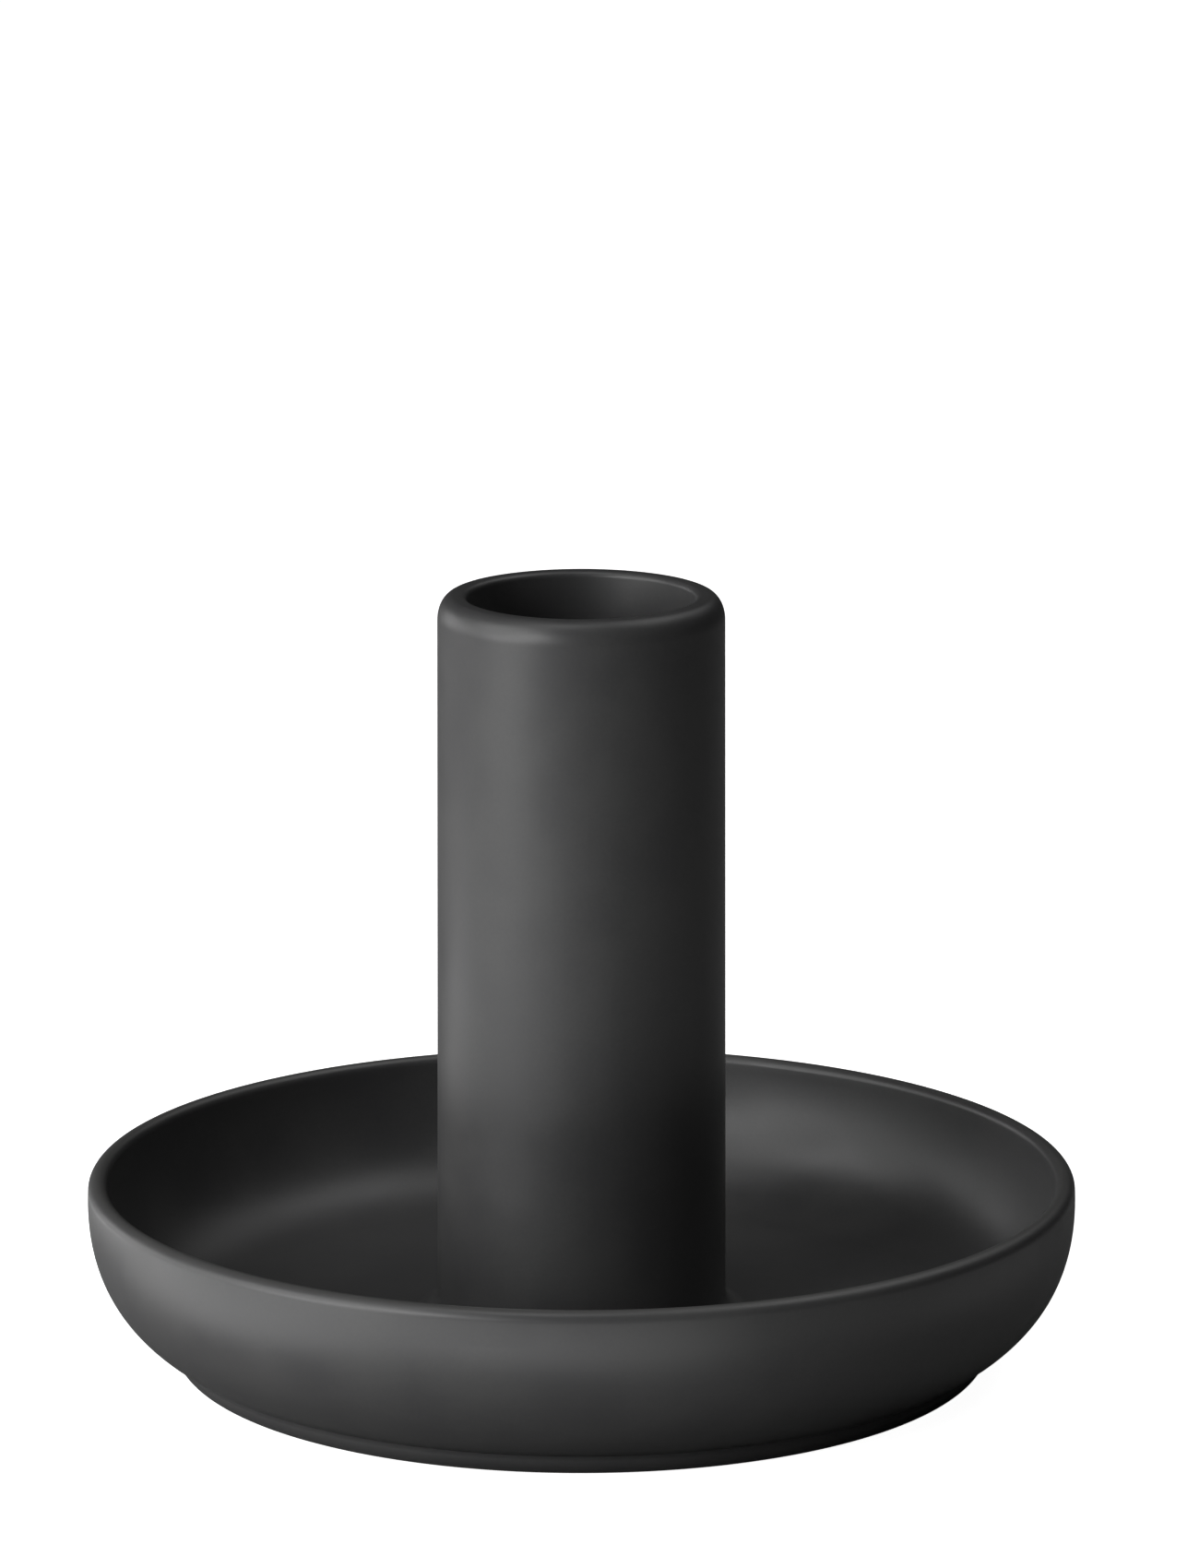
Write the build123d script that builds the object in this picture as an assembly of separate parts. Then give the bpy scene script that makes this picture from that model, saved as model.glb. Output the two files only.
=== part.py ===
from build123d import *
import os
from math import cos, radians, sin

# A ceramic holder for one dinner candle: a drip dish on a low foot ring, with an upright tube luted to
# the dish's floor. Each outline is drawn in the plane of radius and height, and turned once round the
# Z axis. Millimetres. The origin is the centre of the level that the foot ring stands on.

# Whole object
overall_height = 78.9        # from the table to the mouth of the tube
dish_height = 19.15          # from the table to the top of the dish's lip

# Dish
lip_radius = 49.97
lip_thickness = 1.95
lip_outer_rounding = 1.12
wall_bulge_radius = 50.17    # the outer wall bows towards this, and is 50.0 at its widest
wall_upper_pull = 4.58       # how strongly the outer wall stays upright below the lip
wall_lower_pull = 8.8        # how strongly it runs straight up and out from the foot
wall_foot_slope = 28.4       # degrees above the table where it leaves the foot
floor_top = 4.6
floor_radius = 37.0          # the flat part of the floor, before it sweeps up into the wall
inner_wall_upper_pull = 7.75
inner_wall_lower_pull = 7.2
underside_height = 1.7       # the recessed underside, inside the foot ring

# Foot ring
foot_height = 2.26
foot_radius = 41.74          # outside of the ring where it meets the dish
foot_batter = 0.25           # how much the ring draws in below that
foot_bore_radius = 36.6
foot_outer_rounding = 1.87
foot_inner_rounding = 0.8

# Candle tube and its socket
candle_radius = 11.0         # a standard 22 mm dinner candle
candle_clearance = 0.45
socket_depth = 29.0          # from the mouth to the shoulder that the candle stands on
tube_mouth_radius = 14.38
tube_base_radius = 14.64
mouth_rounding_width = 1.6
mouth_rounding_height = 2.5
mouth_inner_rounding = 0.6
floor_recess_radius = 10.4   # the recess below the shoulder, which the socket's floor is let into
tube_hollow_radius = 9.6     # below the ledge that carries the socket's floor
socket_floor_thickness = 2.8

# Seat of the tube in the dish, and the opening that vents the hollow above it
seat_depth = 0.6
vent_radius = 7.0
vent_edge_rounding = 0.5

# Fillets of slip at the luted joints
tube_fillet_width = 2.3
tube_fillet_height = 2.3
socket_fillet_width = 1.0
socket_fillet_height = 1.0
foot_fillet_width = 2.4
foot_fillet_height = 0.9
fillet_hollow = 0.17         # how near a fillet's face is drawn to the corner: 0 deepest, 0.5 flat

# Worked out from the sizes above
lip_inner_rounding = lip_thickness - lip_outer_rounding
lip_crown_radius = lip_radius - lip_outer_rounding
inner_lip_radius = lip_radius - lip_thickness
socket_radius = candle_radius + candle_clearance
shoulder_height = overall_height - socket_depth
socket_floor_top = shoulder_height - socket_fillet_height
ledge_height = socket_floor_top - socket_floor_thickness
seat_height = floor_top - seat_depth


def turned(outline):
    """Return the solid made by turning a closed outline of radius and height round the Z axis."""
    section = make_face(Plane.XZ * Curve(outline))
    return revolve(section, axis=Axis.Z, revolution_arc=360)


def corner_fillet(corner, outwards, upwards):
    """Return a ring of slip in the corner between an upright wall and a level face.

    outwards is the ring's width on the face, below zero where the ring lies inside the wall. upwards is
    its height on the wall, below zero where it lies under the face.
    """
    radius, height = corner
    on_wall = (radius, height + upwards)
    pull = (radius + outwards * fillet_hollow, height + upwards * fillet_hollow)
    on_face = (radius + outwards, height)
    return turned([
        Line(corner, on_wall),
        Bezier(on_wall, pull, on_face),
        Line(on_face, corner),
    ])


def dish():
    """The drip dish: a flat floor, a wall swept up from it, a fully rounded lip and a vented middle."""
    inner_wall_top = (inner_lip_radius, dish_height - lip_inner_rounding)
    outer_wall_top = (lip_radius, dish_height - lip_outer_rounding)
    wall_foot = (foot_radius, foot_height)
    slope = radians(wall_foot_slope)
    seat_corner = (tube_base_radius, seat_height)
    seat_rim = (tube_base_radius, floor_top)
    floor_edge = (floor_radius, floor_top)
    inner_wall = Bezier(
        floor_edge,
        (floor_radius + inner_wall_lower_pull, floor_top),
        (inner_lip_radius, inner_wall_top[1] - inner_wall_upper_pull),
        inner_wall_top,
    )
    inner_lip = CenterArc((lip_crown_radius, inner_wall_top[1]), lip_inner_rounding, 180, -90)
    outer_lip = CenterArc((lip_crown_radius, outer_wall_top[1]), lip_outer_rounding, 90, -90)
    outer_wall = Bezier(
        outer_wall_top,
        (wall_bulge_radius, outer_wall_top[1] - wall_upper_pull),
        (foot_radius + wall_lower_pull * cos(slope), foot_height + wall_lower_pull * sin(slope)),
        wall_foot,
    )
    vent_edge_centre = (vent_radius + vent_edge_rounding, underside_height + vent_edge_rounding)
    vent_edge_top = (vent_radius, vent_edge_centre[1])
    vent_edge = CenterArc(vent_edge_centre, vent_edge_rounding, 270, -90)
    return turned([
        Polyline(vent_edge_top, (vent_radius, seat_height), seat_corner, seat_rim, floor_edge),
        inner_wall,
        inner_lip,
        outer_lip,
        outer_wall,
        Polyline(wall_foot, (foot_bore_radius, foot_height), (foot_bore_radius, underside_height)),
        Line((foot_bore_radius, underside_height), (vent_edge_centre[0], underside_height)),
        vent_edge,
    ])


def foot_ring():
    """The low ring that the dish stands on, let into a rebate in its underside."""
    foot_side = (foot_radius - foot_batter, foot_outer_rounding)
    outer_centre = (foot_side[0] - foot_outer_rounding, foot_outer_rounding)
    inner_centre = (foot_bore_radius + foot_inner_rounding, foot_inner_rounding)
    bore_foot = (foot_bore_radius, foot_inner_rounding)
    return turned([
        Polyline(bore_foot, (foot_bore_radius, foot_height), (foot_radius, foot_height), foot_side),
        CenterArc(outer_centre, foot_outer_rounding, 0, -90),
        Line((outer_centre[0], 0), (inner_centre[0], 0)),
        CenterArc(inner_centre, foot_inner_rounding, 270, -90),
    ])


def candle_tube():
    """The upright tube: a socket above, a narrower hollow below, and the recess of the floor between."""
    mouth_side = (tube_mouth_radius, overall_height - mouth_rounding_height)
    mouth_crown = tube_mouth_radius - mouth_rounding_width
    inner_crown = socket_radius + mouth_inner_rounding
    inner_side_height = overall_height - mouth_inner_rounding
    socket_mouth = (socket_radius, inner_side_height)
    recess_rim = (floor_recess_radius, shoulder_height)
    recess_foot = (floor_recess_radius, ledge_height)
    hollow_foot = (tube_hollow_radius, seat_height)
    return turned([
        Polyline(hollow_foot, (tube_base_radius, seat_height), (tube_base_radius, floor_top), mouth_side),
        EllipticalCenterArc(
            (mouth_crown, mouth_side[1]),
            mouth_rounding_width,
            mouth_rounding_height,
            start_angle=0,
            arc_size=90,
        ),
        Line((mouth_crown, overall_height), (inner_crown, overall_height)),
        CenterArc((inner_crown, inner_side_height), mouth_inner_rounding, 90, 90),
        Polyline(socket_mouth, (socket_radius, shoulder_height), recess_rim, recess_foot),
        Polyline(recess_foot, (tube_hollow_radius, ledge_height), hollow_foot),
    ])


def socket_floor():
    """The disc let into the tube's recess, which closes the socket."""
    centre_below = (0, ledge_height)
    centre_above = (0, socket_floor_top)
    rim_below = (floor_recess_radius, ledge_height)
    rim_above = (floor_recess_radius, socket_floor_top)
    return turned([
        Polyline(centre_below, rim_below, rim_above, centre_above),
        Line(centre_above, centre_below),
    ])


pieces = {
    "dish": dish(),
    "foot_ring": foot_ring(),
    "candle_tube": candle_tube(),
    "socket_floor": socket_floor(),
    "tube_joint_fillet": corner_fillet(
        (tube_base_radius, floor_top), tube_fillet_width, tube_fillet_height
    ),
    "socket_joint_fillet": corner_fillet(
        (floor_recess_radius, socket_floor_top), -socket_fillet_width, socket_fillet_height
    ),
    "foot_joint_fillet": corner_fillet(
        (foot_bore_radius, underside_height), -foot_fillet_width, -foot_fillet_height
    ),
}

os.makedirs("parts", exist_ok=True)
for name, solid in pieces.items():
    export_step(solid, "parts/" + name + ".step")
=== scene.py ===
"""Looks of a ceramic holder for a dinner candle: a silk-glazed drip dish with an upright tube on it.

Sizes are in metres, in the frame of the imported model: +Z is up, and the origin is the middle of the
level that the foot ring stands on. Every piece of clay or slip is an outline of radius and height
that is turned once round the Z axis, as on a potter's wheel.
"""

import logging
import math
from dataclasses import dataclass
from enum import Enum

import bmesh
import bpy
from mathutils import Euler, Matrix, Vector
from mathutils.geometry import interpolate_bezier


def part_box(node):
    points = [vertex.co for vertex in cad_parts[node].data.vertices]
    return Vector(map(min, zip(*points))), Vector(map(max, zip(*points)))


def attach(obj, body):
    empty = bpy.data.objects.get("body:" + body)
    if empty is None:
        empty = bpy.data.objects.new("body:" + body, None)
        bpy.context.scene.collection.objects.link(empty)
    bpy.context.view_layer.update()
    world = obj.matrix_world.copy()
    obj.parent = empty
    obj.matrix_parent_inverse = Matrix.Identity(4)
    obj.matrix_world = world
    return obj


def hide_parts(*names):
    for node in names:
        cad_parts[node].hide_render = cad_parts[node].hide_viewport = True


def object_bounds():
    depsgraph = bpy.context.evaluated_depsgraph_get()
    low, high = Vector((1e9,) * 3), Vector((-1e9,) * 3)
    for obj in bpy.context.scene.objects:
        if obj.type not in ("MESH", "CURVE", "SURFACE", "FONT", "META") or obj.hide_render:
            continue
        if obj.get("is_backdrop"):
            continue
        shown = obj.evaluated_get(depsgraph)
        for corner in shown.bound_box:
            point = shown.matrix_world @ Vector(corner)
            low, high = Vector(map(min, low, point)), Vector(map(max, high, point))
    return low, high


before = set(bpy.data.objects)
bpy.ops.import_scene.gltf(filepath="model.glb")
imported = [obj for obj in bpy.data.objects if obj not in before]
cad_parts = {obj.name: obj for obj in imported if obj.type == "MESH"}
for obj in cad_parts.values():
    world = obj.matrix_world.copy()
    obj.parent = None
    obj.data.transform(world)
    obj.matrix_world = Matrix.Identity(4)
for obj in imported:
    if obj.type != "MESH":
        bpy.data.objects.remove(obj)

LOG = logging.getLogger("candle_holder")
MM = 0.001
BODY = "root"
TURN_STEPS = 320
WELD_DISTANCE = 0.002 * MM
SHARP_ANGLE = math.radians(40.0)
QUARTER_HANDLE = 0.5523  # handle length that makes a Bezier curve a quarter of a circle or ellipse


class Side(Enum):
    """Where a fillet of slip lies: outwards from its upright wall, and upwards from its level face."""

    OUTSIDE_ABOVE = (1, 1)
    INSIDE_ABOVE = (-1, 1)
    INSIDE_BELOW = (-1, -1)


class Outline:
    """A closed outline of radius and height, drawn point by point like a potter's template."""

    def __init__(self, radius: float, height: float) -> None:
        """Start the outline at one point.

        Args:
            radius: Distance of the first point from the Z axis.
            height: Height of the first point.
        """
        self.points: list[Vector] = [Vector((radius, 0.0, height))]

    def start(self) -> tuple[float, float]:
        """Return the radius and height of the first point."""
        return self.points[0].x, self.points[0].z

    def on_axis(self) -> bool:
        """Return whether the outline starts and ends on the Z axis, where no edge has to close it."""
        return self.points[0].x == 0.0 and self.points[-1].x == 0.0

    def line(self, *corners: tuple[float, float]) -> "Outline":
        """Go on in straight lines.

        Args:
            corners: Radius and height of each next point.

        Returns:
            The outline itself, so that calls can be chained.
        """
        self.points += [Vector((radius, 0.0, height)) for radius, height in corners]
        return self

    def curve(
        self,
        pull_out: tuple[float, float],
        pull_in: tuple[float, float],
        end: tuple[float, float],
        steps: int,
    ) -> "Outline":
        """Go on along one Bezier curve.

        Args:
            pull_out: Handle that the curve leaves its start towards.
            pull_in: Handle that it reaches its end from.
            end: Radius and height where it ends.
            steps: How many straight pieces stand for it.

        Returns:
            The outline itself, so that calls can be chained.
        """
        handles = [Vector((radius, 0.0, height)) for radius, height in (pull_out, pull_in, end)]
        self.points += interpolate_bezier(self.points[-1], *handles, steps + 1)[1:]
        return self

    def quarter(self, corner: tuple[float, float], end: tuple[float, float], steps: int = 10) -> "Outline":
        """Round a corner off with a quarter of a circle or an ellipse.

        Args:
            corner: The corner that is rounded off.
            end: Where the rounding ends.
            steps: How many straight pieces stand for it.

        Returns:
            The outline itself, so that calls can be chained.
        """
        start = self.points[-1]
        sharp = Vector((corner[0], 0.0, corner[1]))
        finish = Vector((end[0], 0.0, end[1]))
        leaving = start.lerp(sharp, QUARTER_HANDLE)
        arriving = finish.lerp(sharp, QUARTER_HANDLE)
        return self.curve((leaving.x, leaving.z), (arriving.x, arriving.z), end, steps)


class Shader:
    """A material's node tree, with short calls to add and join its nodes."""

    def __init__(self, name: str) -> None:
        """Make an empty material with a Principled shader and an output.

        Args:
            name: Name of the material.
        """
        self.material: bpy.types.Material = bpy.data.materials.new(name)
        self.material.use_nodes = True
        self.tree: bpy.types.NodeTree = self.material.node_tree
        self.tree.nodes.clear()
        self.surface = self.add("ShaderNodeBsdfPrincipled")
        output = self.add("ShaderNodeOutputMaterial")
        self.tree.links.new(self.surface.outputs["BSDF"], output.inputs["Surface"])
        self.place = self.add("ShaderNodeTexCoord").outputs["Object"]

    def add(self, kind: str, **settings: object) -> bpy.types.Node:
        """Add one node.

        Args:
            kind: The node's type.
            settings: Its properties by name.

        Returns:
            The new node.
        """
        made = self.tree.nodes.new(kind)
        for name, value in settings.items():
            setattr(made, name, value)
        return made

    def feed(self, target: bpy.types.NodeSocket, value: object) -> None:
        """Join a socket to an input, or set the input to a plain number or colour.

        Args:
            target: The input.
            value: An output socket, a number or a colour.
        """
        if isinstance(value, bpy.types.NodeSocket):
            self.tree.links.new(value, target)
        else:
            target.default_value = value

    def math(self, operation: str, first: object, second: object = 0.0) -> bpy.types.NodeSocket:
        """Work out a number from one or two others.

        Args:
            operation: Name of the sum, as the Math node has it.
            first: First number or socket.
            second: Second number or socket.

        Returns:
            The result's socket.
        """
        made = self.add("ShaderNodeMath", operation=operation)
        self.feed(made.inputs[0], first)
        self.feed(made.inputs[1], second)
        return made.outputs[0]

    def ramp(self, value: object, low: float, high: float, start: float, end: float) -> bpy.types.NodeSocket:
        """Turn a number's range into another range, smoothly and without overshoot.

        Args:
            value: The number's socket.
            low: Value that gives start.
            high: Value that gives end.
            start: Result at low and below.
            end: Result at high and above.

        Returns:
            The result's socket.
        """
        made = self.add("ShaderNodeMapRange", interpolation_type="SMOOTHSTEP")
        names = ("Value", "From Min", "From Max", "To Min", "To Max")
        for name, number in zip(names, (value, low, high, start, end)):
            self.feed(made.inputs[name], number)
        return made.outputs["Result"]

    def noise(self, grain: float, detail: float = 3.0, roughness: float = 0.5) -> bpy.types.NodeSocket:
        """Add a cloudy noise in the piece's own space.

        Args:
            grain: Size of one patch, in metres.
            detail: How many finer layers it has.
            roughness: How strong the finer layers are.

        Returns:
            The noise's value, from 0 to 1.
        """
        made = self.add("ShaderNodeTexNoise")
        self.feed(made.inputs["Vector"], self.place)
        self.feed(made.inputs["Scale"], 1.0 / grain)
        self.feed(made.inputs["Detail"], detail)
        self.feed(made.inputs["Roughness"], roughness)
        return made.outputs["Fac"]

    def blend(self, share: object, first: object, second: object) -> bpy.types.NodeSocket:
        """Mix two colours.

        Args:
            share: Share of the second colour, from 0 to 1.
            first: First colour.
            second: Second colour.

        Returns:
            The mixed colour's socket.
        """
        made = self.add("ShaderNodeMix", data_type="RGBA")
        self.feed(made.inputs["Factor"], share)
        self.feed(made.inputs[6], first)
        self.feed(made.inputs[7], second)
        return made.outputs[2]

    def relief(self, height: object, depth: float, below: object = None) -> bpy.types.NodeSocket:
        """Turn a height into a bumpy normal.

        Args:
            height: The height's socket, from 0 to 1.
            depth: How deep the full height is, in metres.
            below: A coarser normal that this one lies on.

        Returns:
            The normal's socket.
        """
        made = self.add("ShaderNodeBump")
        self.feed(made.inputs["Height"], height)
        self.feed(made.inputs["Distance"], depth)
        if below is not None:
            self.feed(made.inputs["Normal"], below)
        return made.outputs["Normal"]

    def height(self) -> bpy.types.NodeSocket:
        """Return the height above the table."""
        split = self.add("ShaderNodeSeparateXYZ")
        self.feed(split.inputs[0], self.place)
        return split.outputs["Z"]

    def radius(self) -> bpy.types.NodeSocket:
        """Return the distance from the Z axis."""
        flat = self.add("ShaderNodeVectorMath", operation="MULTIPLY")
        self.feed(flat.inputs[0], self.place)
        flat.inputs[1].default_value = (1.0, 1.0, 0.0)
        length = self.add("ShaderNodeVectorMath", operation="LENGTH")
        self.feed(length.inputs[0], flat.outputs[0])
        return length.outputs["Value"]


@dataclass(frozen=True)
class SilkGlaze:
    """A smooth charcoal glaze with a silky, half-matt face."""

    name: str = "silk_glaze"
    thick_colour: tuple[float, float, float, float] = (0.041, 0.041, 0.042, 1.0)
    thin_colour: tuple[float, float, float, float] = (0.048, 0.048, 0.048, 1.0)
    # Lighter colour on the dish's lip crown: partly the glaze breaking thin at the edge, partly a painted
    # highlight for the bright line that light draws along the lip.
    lip_break_and_highlight_colour: tuple[float, float, float, float] = (0.062, 0.062, 0.061, 1.0)
    clay_colour: tuple[float, float, float, float] = (0.105, 0.098, 0.090, 1.0)
    grit_colour: tuple[float, float, float, float] = (0.070, 0.066, 0.062, 1.0)
    smoothest: float = 0.38
    roughest: float = 0.44
    clay_roughness: float = 0.85
    mottle_grain: float = 9.0 * MM
    speck_grain: float = 0.35 * MM
    grit_grain: float = 0.5 * MM
    lip_height: float = 19.15 * MM
    lip_break_and_highlight_depth: float = 0.45 * MM
    lip_inside: float = 47.0 * MM
    bare_radius: float = 9.9 * MM
    bare_height: float = 46.2 * MM
    vent_rim_height: float = 2.2 * MM
    orange_peel_grain: float = 2.2 * MM
    orange_peel_depth: float = 0.006 * MM
    tooth_grain: float = 0.16 * MM
    tooth_depth: float = 0.0025 * MM
    specular: float = 0.5

    def clay(self, shader: Shader) -> bpy.types.NodeSocket:
        """Return the colour of the bare fired clay, with its grit.

        Args:
            shader: The shader that it is for.

        Returns:
            The colour's socket.
        """
        grit = shader.noise(self.grit_grain, detail=4.0, roughness=0.7)
        return shader.blend(shader.ramp(grit, 0.4, 0.6, 0.0, 1.0), self.clay_colour, self.grit_colour)

    def rough(self, shader: Shader, bare: bpy.types.NodeSocket) -> bpy.types.NodeSocket:
        """Return the roughness that bare clay has.

        Args:
            shader: The shader that it is for.
            bare: Share of bare clay, from 0 to 1.

        Returns:
            The roughness's socket, which is 0 where there is glaze.
        """
        return shader.math("MULTIPLY", bare, self.clay_roughness)

    def dress(self, shader: Shader) -> bpy.types.NodeSocket:
        """Give a shader the glaze's colour, gloss and relief.

        Args:
            shader: The shader to set up.

        Returns:
            The glaze's colour, for finishes that go on from it.
        """
        mottle = shader.noise(self.mottle_grain, detail=4.0)
        specks = shader.noise(self.speck_grain, detail=2.0)
        both = shader.math("ADD", shader.math("MULTIPLY", mottle, 0.7), shader.math("MULTIPLY", specks, 0.3))
        glaze = shader.blend(shader.ramp(both, 0.35, 0.65, 0.0, 1.0), self.thick_colour, self.thin_colour)
        radius, height = shader.radius(), shader.height()
        # Band along the top of the dish's lip: the glaze breaking thin there, and a painted highlight as
        # well.
        near_lip = shader.ramp(height, self.lip_height - self.lip_break_and_highlight_depth, self.lip_height, 0.0, 1.0)
        lip = shader.math("MULTIPLY", near_lip, shader.math("GREATER_THAN", radius, self.lip_inside))
        below = shader.math("LESS_THAN", height, self.bare_height)
        hollow = shader.math("MULTIPLY", below, shader.math("GREATER_THAN", height, self.vent_rim_height))
        bare = shader.math("MULTIPLY", hollow, shader.math("LESS_THAN", radius, self.bare_radius))
        colour = shader.blend(bare, shader.blend(lip, glaze, self.lip_break_and_highlight_colour), self.clay(shader))
        gloss = shader.ramp(mottle, 0.3, 0.7, self.smoothest, self.roughest)
        shader.feed(shader.surface.inputs["Base Color"], colour)
        roughness = shader.math("MAXIMUM", gloss, self.rough(shader, bare))
        shader.feed(shader.surface.inputs["Roughness"], roughness)
        shader.feed(shader.surface.inputs["Specular IOR Level"], self.specular)
        peel = shader.relief(shader.noise(self.orange_peel_grain, detail=1.0), self.orange_peel_depth)
        tooth = shader.relief(shader.noise(self.tooth_grain, detail=2.0), self.tooth_depth, peel)
        shader.feed(shader.surface.inputs["Normal"], tooth)
        return colour

    def material(self) -> bpy.types.Material:
        """Return the glaze as a material."""
        shader = Shader(self.name)
        self.dress(shader)
        return shader.material


@dataclass(frozen=True)
class FootStoneware:
    """The foot ring's finish: glaze on its side, wiped off the face that stands on the table."""

    glaze: SilkGlaze
    name: str = "foot_stoneware"
    wiped_height: float = 0.28 * MM
    wiped_edge: float = 0.10 * MM

    def material(self) -> bpy.types.Material:
        """Return the finish as a material."""
        shader = Shader(self.name)
        colour = self.glaze.dress(shader)
        mottle = shader.noise(self.glaze.mottle_grain)
        wander = shader.ramp(mottle, 0.3, 0.7, -self.wiped_edge, self.wiped_edge)
        level = shader.math("ADD", shader.height(), wander)
        bare = shader.ramp(level, self.wiped_height, self.wiped_height + self.wiped_edge, 1.0, 0.0)
        shader.feed(shader.surface.inputs["Base Color"], shader.blend(bare, colour, self.glaze.clay(shader)))
        rough = shader.math("MAXIMUM", self.glaze.roughest, self.glaze.rough(shader, bare))
        shader.feed(shader.surface.inputs["Roughness"], rough)
        return shader.material


@dataclass(frozen=True)
class Piece:
    """One turned piece: the name it goes by, the CAD node it stands for, and a material slot name, which is
    not used.
    """

    name: str
    node: str
    slot: str

    def turn(self, outline: Outline, material: bpy.types.Material) -> bpy.types.Object:
        """Turn an outline round the Z axis and set the piece up in the frame.

        Args:
            outline: The closed outline.
            material: The piece's material.

        Returns:
            The finished piece.
        """
        shape = bmesh.new()
        rim = [shape.verts.new(point) for point in outline.points]
        ends = zip(rim, rim[1:]) if outline.on_axis() else zip(rim, rim[1:] + rim[:1])
        edges = [shape.edges.new(pair) for pair in ends]
        bmesh.ops.spin(
            shape,
            geom=rim + edges,
            cent=(0.0, 0.0, 0.0),
            axis=(0.0, 0.0, 1.0),
            angle=math.tau,
            steps=TURN_STEPS,
            use_merge=True,
        )
        bmesh.ops.remove_doubles(shape, verts=shape.verts, dist=WELD_DISTANCE)
        bmesh.ops.recalc_face_normals(shape, faces=shape.faces)
        mesh = bpy.data.meshes.new(self.name)
        shape.to_mesh(mesh)
        shape.free()
        mesh.shade_smooth()
        mesh.set_sharp_from_angle(angle=SHARP_ANGLE)
        mesh.materials.append(material)
        made = bpy.data.objects.new(self.name, mesh)
        bpy.context.scene.collection.objects.link(made)
        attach(made, BODY)
        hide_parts(self.node)
        LOG.info("%s: %d faces, stands for %s", self.name, len(mesh.polygons), self.node)
        return made


@dataclass(frozen=True)
class DripDish:
    """The drip dish: a flat floor, a wall swept up from it, and a thin lip that is rounded all over."""

    lip_thickness: float = 1.95 * MM
    lip_outer_rounding: float = 1.12 * MM
    lip_draw_in: float = 0.03 * MM
    wall_bulge: float = 0.2 * MM
    wall_upper_pull: float = 4.58 * MM
    wall_lower_pull: float = 8.8 * MM
    wall_foot_slope: float = math.radians(28.4)
    floor_radius: float = 37.0 * MM
    inner_wall_upper_pull: float = 7.75 * MM
    inner_wall_lower_pull: float = 7.2 * MM
    vent_radius: float = 7.0 * MM
    vent_edge_rounding: float = 0.5 * MM
    wall_steps: int = 40

    def build(self, finish: bpy.types.Material) -> bpy.types.Object:
        """Turn the dish.

        Args:
            finish: The glaze.

        Returns:
            The dish.
        """
        low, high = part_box("dish")
        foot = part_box("foot_ring")[1]
        seat_low, seat_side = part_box("candle_tube")[0].z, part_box("candle_tube")[1].x
        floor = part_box("tube_joint_fillet")[0].z
        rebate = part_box("foot_joint_fillet")[1].x
        lip = high.x - self.lip_draw_in
        crown = lip - self.lip_outer_rounding
        inner = lip - self.lip_thickness
        inner_top = high.z - (self.lip_thickness - self.lip_outer_rounding)
        outer_top = high.z - self.lip_outer_rounding
        slope = self.wall_foot_slope
        foot_pull = Vector((math.cos(slope), math.sin(slope))) * self.wall_lower_pull
        outline = Outline(self.vent_radius, low.z + self.vent_edge_rounding)
        outline.line((self.vent_radius, seat_low), (seat_side, seat_low), (seat_side, floor))
        outline.line((self.floor_radius, floor))
        outline.curve(
            (self.floor_radius + self.inner_wall_lower_pull, floor),
            (inner, inner_top - self.inner_wall_upper_pull),
            (inner, inner_top),
            self.wall_steps,
        )
        outline.quarter((inner, high.z), (crown, high.z))
        outline.quarter((lip, high.z), (lip, outer_top))
        outline.curve(
            (lip + self.wall_bulge, outer_top - self.wall_upper_pull),
            (foot.x + foot_pull.x, foot.z + foot_pull.y),
            (foot.x, foot.z),
            self.wall_steps,
        )
        outline.line((rebate, foot.z), (rebate, low.z), (self.vent_radius + self.vent_edge_rounding, low.z))
        outline.quarter((self.vent_radius, low.z), outline.start())
        return Piece("drip_dish", "dish", "silk_glaze").turn(outline, finish)


@dataclass(frozen=True)
class FootRing:
    """The low ring under the dish, with a soft outer edge and a wiped resting face."""

    batter: float = 0.25 * MM
    outer_rounding: float = 1.87 * MM
    inner_rounding: float = 0.8 * MM

    def build(self, finish: bpy.types.Material) -> bpy.types.Object:
        """Turn the foot ring.

        Args:
            finish: Glaze with a wiped foot.

        Returns:
            The foot ring.
        """
        low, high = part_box("foot_ring")
        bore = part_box("foot_joint_fillet")[1].x
        side = high.x - self.batter
        outline = Outline(bore, low.z + self.inner_rounding)
        outline.line((bore, high.z), (high.x, high.z), (side, low.z + self.outer_rounding))
        outline.quarter((side, low.z), (side - self.outer_rounding, low.z), steps=14)
        outline.line((bore + self.inner_rounding, low.z))
        outline.quarter((bore, low.z), outline.start())
        return Piece("foot_ring_glazed", "foot_ring", "foot_stoneware").turn(outline, finish)


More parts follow.
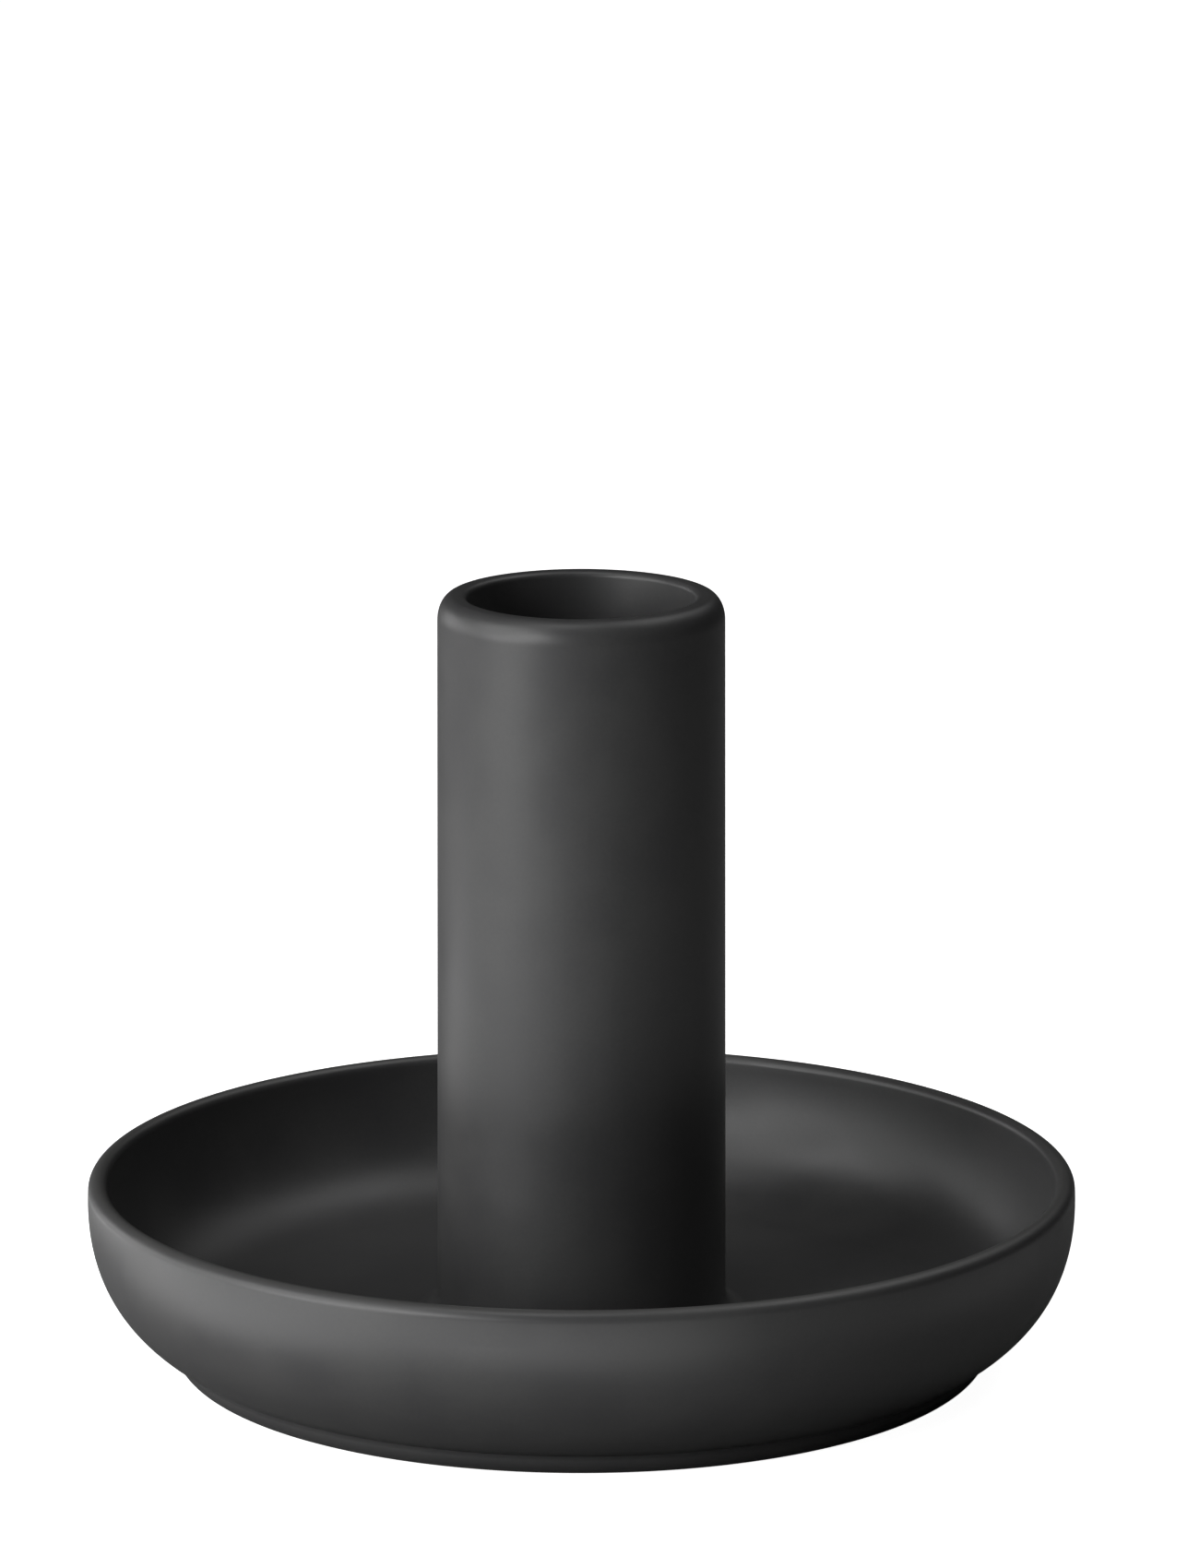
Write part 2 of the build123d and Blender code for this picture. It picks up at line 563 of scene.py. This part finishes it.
@dataclass(frozen=True)
class CandleTube:
    """The upright tube: a rounded mouth, a socket for the candle and an open hollow under its floor."""

    mouth_draw_in: float = 0.26 * MM
    mouth_rounding_width: float = 1.6 * MM
    mouth_rounding_height: float = 2.5 * MM
    mouth_inner_rounding: float = 0.6 * MM
    socket_radius: float = 11.45 * MM
    hollow_radius: float = 9.6 * MM

    def build(self, finish: bpy.types.Material) -> bpy.types.Object:
        """Turn the tube.

        Args:
            finish: The glaze.

        Returns:
            The tube.
        """
        low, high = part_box("candle_tube")
        disc_low, disc_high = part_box("socket_floor")
        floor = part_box("tube_joint_fillet")[0].z
        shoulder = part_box("socket_joint_fillet")[1].z
        socket = self.socket_radius
        mouth = high.x - self.mouth_draw_in
        side_top = high.z - self.mouth_rounding_height
        crown = mouth - self.mouth_rounding_width
        inner_crown = socket + self.mouth_inner_rounding
        outline = Outline(self.hollow_radius, low.z)
        outline.line((high.x, low.z), (high.x, floor), (mouth, side_top))
        outline.quarter((mouth, high.z), (crown, high.z), steps=16)
        outline.line((inner_crown, high.z))
        outline.quarter((socket, high.z), (socket, high.z - self.mouth_inner_rounding))
        outline.line((socket, shoulder), (disc_high.x, shoulder), (disc_high.x, disc_low.z))
        outline.line((self.hollow_radius, disc_low.z))
        return Piece("candle_tube_glazed", "candle_tube", "silk_glaze").turn(outline, finish)


@dataclass(frozen=True)
class SocketFloor:
    """The disc that closes the socket."""

    def build(self, finish: bpy.types.Material) -> bpy.types.Object:
        """Turn the disc.

        Args:
            finish: The glaze.

        Returns:
            The disc.
        """
        low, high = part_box("socket_floor")
        outline = Outline(0.0, low.z)
        outline.line((high.x, low.z), (high.x, high.z), (0.0, high.z))
        return Piece("socket_floor_glazed", "socket_floor", "silk_glaze").turn(outline, finish)


@dataclass(frozen=True)
class SlipFillet:
    """A ring of slip, smoothed into the corner of a luted joint."""

    node: str
    side: Side
    width: float
    steps: int = 12

    def build(self, finish: bpy.types.Material) -> bpy.types.Object:
        """Turn the ring of slip.

        Args:
            finish: The glaze.

        Returns:
            The fillet.
        """
        low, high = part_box(self.node)
        outwards, upwards = self.side.value
        wall = high.x - self.width if outwards > 0 else high.x
        level, top = (low.z, high.z) if upwards > 0 else (high.z, low.z)
        corner = (wall, level)
        outline = Outline(*corner)
        outline.line((wall, top))
        outline.quarter(corner, (wall + outwards * self.width, level), self.steps)
        return Piece(self.node + "_glazed", self.node, "silk_glaze").turn(outline, finish)


@dataclass(frozen=True)
class SoftLamp:
    """A rectangular studio lamp, which the camera doesn't see."""

    name: str
    width: float
    height: float
    power: float

    def hang(self, place: Vector, rotation: Euler) -> None:
        """Put the lamp up.

        Args:
            place: Where its middle is.
            rotation: How it is turned; unturned, it shines straight down.
        """
        lamp = bpy.data.lights.new(self.name, "AREA")
        lamp.shape = "RECTANGLE"
        lamp.size = self.width
        lamp.size_y = self.height
        lamp.energy = self.power
        made = bpy.data.objects.new(self.name, lamp)
        made.location = place
        made.rotation_euler = rotation
        made.visible_camera = False
        bpy.context.scene.collection.objects.link(made)


@dataclass(frozen=True)
class SoftBox(SoftLamp):
    """A lamp on a stand round the object, turned towards it."""

    azimuth: float
    elevation: float
    distance: float = 0.8

    def light(self, target: Vector) -> None:
        """Set the lamp up.

        Args:
            target: Point that the lamp faces.
        """
        turn, rise = math.radians(self.azimuth), math.radians(self.elevation)
        outwards = Vector((math.sin(turn) * math.cos(rise), -math.cos(turn) * math.cos(rise), math.sin(rise)))
        self.hang(target + outwards * self.distance, outwards.to_track_quat("Z", "Y").to_euler())


@dataclass(frozen=True)
class TableGlow(SoftLamp):
    """A bright patch of the table beside the object, which lights the object from below."""

    azimuth: float
    distance: float
    lift: float = 0.5 * MM

    def light(self) -> None:
        """Set the patch up."""
        turn = math.radians(self.azimuth)
        outwards = Vector((math.sin(turn), -math.cos(turn), 0.0))
        self.hang(outwards * self.distance + Vector((0.0, 0.0, self.lift)), Euler((math.pi, 0.0, turn)))


@dataclass(frozen=True)
class Studio:
    """A pale table, soft lamps and the camera."""

    table_size: float = 8.0
    table_colour: tuple[float, float, float, float] = (0.86, 0.86, 0.86, 1.0)
    table_glow: float = 0.97
    bounce_colour: tuple[float, float, float, float] = (0.25, 0.25, 0.25, 1.0)
    table_drop: float = 0.02 * MM
    bounce_drop: float = 0.05 * MM
    table_roughness: float = 0.9
    room_brightness: float = 0.01
    camera_distance: float = 0.8077
    camera_height: float = 0.2461
    camera_tilt: float = math.radians(13.008)
    camera_turn: float = math.radians(0.129)
    camera_lens: float = 189.85
    boxes: tuple[SoftBox, ...] = (
        SoftBox("key_left", width=0.50, height=0.26, power=2.5, azimuth=-60.0, elevation=4.0),
        SoftBox("key_side", width=0.50, height=0.30, power=0.8, azimuth=-95.0, elevation=5.0),
        SoftBox("left_middle", width=0.28, height=0.28, power=1.9, azimuth=-42.0, elevation=20.0),
        SoftBox("side_middle", width=0.35, height=0.28, power=1.1, azimuth=-80.0, elevation=28.0),
        SoftBox("left_high", width=0.35, height=0.30, power=1.0, azimuth=-58.0, elevation=42.0),
        SoftBox("overhead", width=0.40, height=0.40, power=0.9, azimuth=-40.0, elevation=75.0),
        SoftBox("front_low", width=0.25, height=0.20, power=0.3, azimuth=-25.0, elevation=12.0),
        SoftBox("left_back", width=0.40, height=0.30, power=0.8, azimuth=-125.0, elevation=6.0),
        SoftBox("right_high", width=0.50, height=0.40, power=0.9, azimuth=105.0, elevation=62.0),
        SoftBox("right_back", width=0.50, height=0.50, power=0.4, azimuth=140.0, elevation=45.0),
    )
    glows: tuple[TableGlow, ...] = (
        TableGlow("glow_left", width=0.17, height=0.07, power=0.075, azimuth=-55.0, distance=0.100),
        TableGlow("glow_front", width=0.09, height=0.05, power=0.022, azimuth=-5.0, distance=0.095),
        TableGlow("glow_left_back", width=0.09, height=0.08, power=0.05, azimuth=-108.0, distance=0.14),
        TableGlow("glow_right", width=0.12, height=0.05, power=0.006, azimuth=66.0, distance=0.100),
    )

    def sheet(self, name: str, colour: tuple[float, float, float, float], glow: float) -> bpy.types.Object:
        """Lay a flat square sheet under the object.

        Args:
            name: Name of the sheet.
            colour: Its colour.
            glow: How brightly it shines by itself.

        Returns:
            The sheet.
        """
        shader = Shader(name)
        shader.feed(shader.surface.inputs["Base Color"], colour)
        shader.feed(shader.surface.inputs["Roughness"], self.table_roughness)
        shader.feed(shader.surface.inputs["Emission Color"], (1.0, 1.0, 1.0, 1.0))
        shader.feed(shader.surface.inputs["Emission Strength"], glow)
        shape = bmesh.new()
        bmesh.ops.create_grid(shape, x_segments=1, y_segments=1, size=self.table_size / 2)
        mesh = bpy.data.meshes.new(name)
        shape.to_mesh(mesh)
        shape.free()
        mesh.materials.append(shader.material)
        made = bpy.data.objects.new(name, mesh)
        bpy.context.scene.collection.objects.link(made)
        made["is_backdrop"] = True
        return made

    def table(self) -> None:
        """Lay the pale table that is seen, and just under it the darker sheet that bounces light."""
        seen = self.sheet("pale_table", self.table_colour, self.table_glow)
        seen.location.z = -self.table_drop
        seen.visible_diffuse = False
        seen.visible_glossy = False
        seen.visible_shadow = False
        bounce = self.sheet("bounce_table", self.bounce_colour, 0.0)
        bounce.location.z = -self.bounce_drop
        bounce.visible_camera = False

    def room(self) -> None:
        """Fill the room with a little even light."""
        world = bpy.data.worlds.new("room")
        world.use_nodes = True
        world.node_tree.nodes["Background"].inputs["Color"].default_value = (1.0, 1.0, 1.0, 1.0)
        world.node_tree.nodes["Background"].inputs["Strength"].default_value = self.room_brightness
        bpy.context.scene.world = world
        bpy.context.scene.view_settings.view_transform = "Standard"

    def camera(self) -> None:
        """Place the camera in front of the object, looking a little down on it."""
        lens = bpy.data.cameras.new("camera")
        lens.lens = self.camera_lens
        made = bpy.data.objects.new("camera", lens)
        made.location = (0.0, -self.camera_distance, self.camera_height)
        made.rotation_euler = (math.pi / 2 - self.camera_tilt, 0.0, -self.camera_turn)
        bpy.context.scene.collection.objects.link(made)
        bpy.context.scene.camera = made

    def build(self) -> None:
        """Set up the table, the room, the lamps and the camera."""
        self.table()
        self.room()
        low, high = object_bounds()
        for box in self.boxes:
            box.light((low + high) / 2)
        for glow in self.glows:
            glow.light()
        self.camera()
        LOG.info("studio: %d lamps", len(self.boxes) + len(self.glows))


def main() -> None:
    """Build the candle holder's pieces and the studio round them."""
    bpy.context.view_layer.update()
    silk = SilkGlaze()
    glaze = silk.material()
    foot = FootStoneware(silk).material()
    DripDish().build(glaze)
    FootRing().build(foot)
    CandleTube().build(glaze)
    SocketFloor().build(glaze)
    SlipFillet("tube_joint_fillet", Side.OUTSIDE_ABOVE, width=2.3 * MM).build(glaze)
    SlipFillet("socket_joint_fillet", Side.INSIDE_ABOVE, width=1.0 * MM).build(glaze)
    SlipFillet("foot_joint_fillet", Side.INSIDE_BELOW, width=2.4 * MM).build(glaze)
    Studio().build()


if __name__ == "__main__":
    logging.basicConfig(level=logging.INFO, format="%(name)s: %(message)s")
    main()
